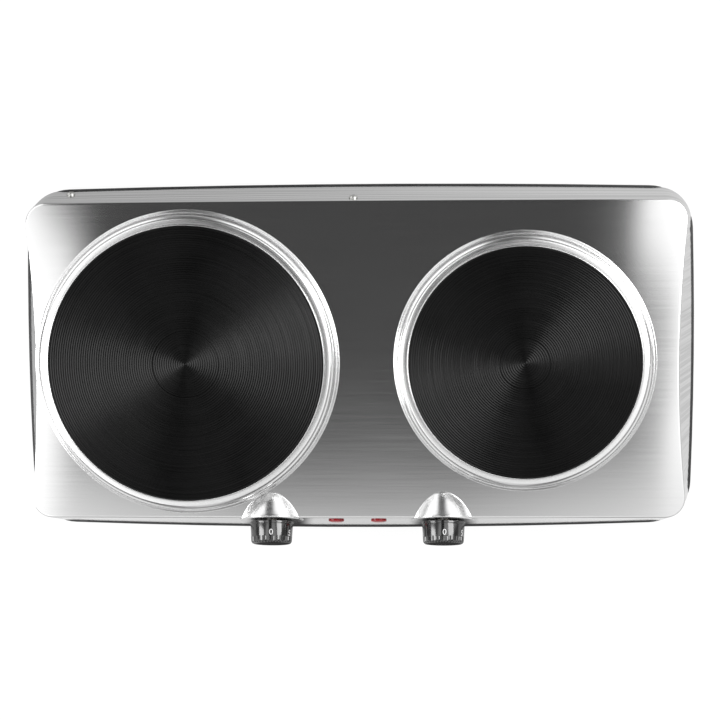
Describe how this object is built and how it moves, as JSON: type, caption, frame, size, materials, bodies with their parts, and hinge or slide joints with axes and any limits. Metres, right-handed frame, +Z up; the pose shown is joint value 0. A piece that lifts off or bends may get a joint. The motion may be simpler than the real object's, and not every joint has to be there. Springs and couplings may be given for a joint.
{
  "type": "hot plate burner",
  "caption": "Table-top electric hot plate: low brushed steel housing with a large and a small cast-iron cooking plate, and front thermostat knobs with pilot lamps.",
  "frame": {"origin": "centre of the whole outline, on the table plane under the feet", "axes": "+X to the right, +Y to the back, +Z up; the knobs are on the front, towards -Y"},
  "size_m": [0.4628, 0.2468, 0.0695],
  "materials": {
    "stainless": "brushed",
    "bright_steel": "polished",
    "base_black": "satin",
    "rubber_black": "matte",
    "zinc_steel": "zinc plated",
    "cast_iron": "turned, black coated",
    "coil_steel": "oxidised",
    "cover_steel": "aluminised sheet",
    "ceramic": "matte",
    "brass": "satin",
    "knob_black": "gloss",
    "index_black": "gloss",
    "lens_red": "gloss, translucent",
    "bulb_glass": "clear",
    "block_white": "matte",
    "wire_brown": "matte",
    "wire_black": "matte",
    "wire_blue": "matte",
    "wire_green": "matte"
  },
  "bodies": {
    "case": {"base_plate": "base_black", "base_screws": "zinc_steel", "cord_grommet": "rubber_black", "earth_ring_terminal": "brass", "earth_screw": "zinc_steel", "earth_wire": "wire_green", "foot_screws": "zinc_steel", "front_left_foot": "rubber_black", "front_right_foot": "rubber_black", "housing": "stainless", "lamp_clips": "zinc_steel", "left_bottom_cover": "cover_steel", "left_centre_stud": "zinc_steel", "left_clamp_bridge": "zinc_steel", "left_heating_coil": "coil_steel", "left_index_mark": "index_black", "left_insulation": "ceramic", "left_lamp_bulb": "bulb_glass", "left_lamp_lens": "lens_red", "left_live_wire": "wire_brown", "left_load_wire": "wire_black", "left_neutral_wire": "wire_blue", "left_plate": "cast_iron", "left_spill_ring": "bright_steel", "left_terminal_block": "ceramic", "left_terminal_pins": "brass", "left_thermostat": "ceramic", "left_thermostat_tabs": "brass", "left_trim_band": "bright_steel", "mains_terminal_block": "block_white", "rear_left_foot": "rubber_black", "rear_right_foot": "rubber_black", "rear_screw": "zinc_steel", "right_bottom_cover": "cover_steel", "right_centre_stud": "zinc_steel", "right_clamp_bridge": "zinc_steel", "right_heating_coil": "coil_steel", "right_index_mark": "index_black", "right_insulation": "ceramic", "right_lamp_bulb": "bulb_glass", "right_lamp_lens": "lens_red", "right_live_wire": "wire_brown", "right_load_wire": "wire_black", "right_neutral_wire": "wire_blue", "right_plate": "cast_iron", "right_spill_ring": "bright_steel", "right_terminal_block": "ceramic", "right_terminal_pins": "brass", "right_thermostat": "ceramic", "right_thermostat_tabs": "brass", "right_trim_band": "bright_steel", "stud_nuts": "zinc_steel", "stud_washers": "zinc_steel", "thermostat_screws": "zinc_steel"},
    "left_knob": {"left_knob": "knob_black", "left_knob_spring": "zinc_steel", "left_spindle": "zinc_steel"},
    "right_knob": {"right_knob": "knob_black", "right_knob_spring": "zinc_steel", "right_spindle": "zinc_steel"}
  },
  "joints": [
    {"name": "left_knob_turn", "type": "hinge", "parent": "case", "child": "left_knob", "pos_m": [-0.0586, -0.1044, 0.04843], "axis": [0, 0.957, -0.2902], "range_deg": [0, 300]},
    {"name": "right_knob_turn", "type": "hinge", "parent": "case", "child": "right_knob", "pos_m": [0.0586, -0.1044, 0.04843], "axis": [0, 0.957, -0.2902], "range_deg": [0, 300]}
  ]
}
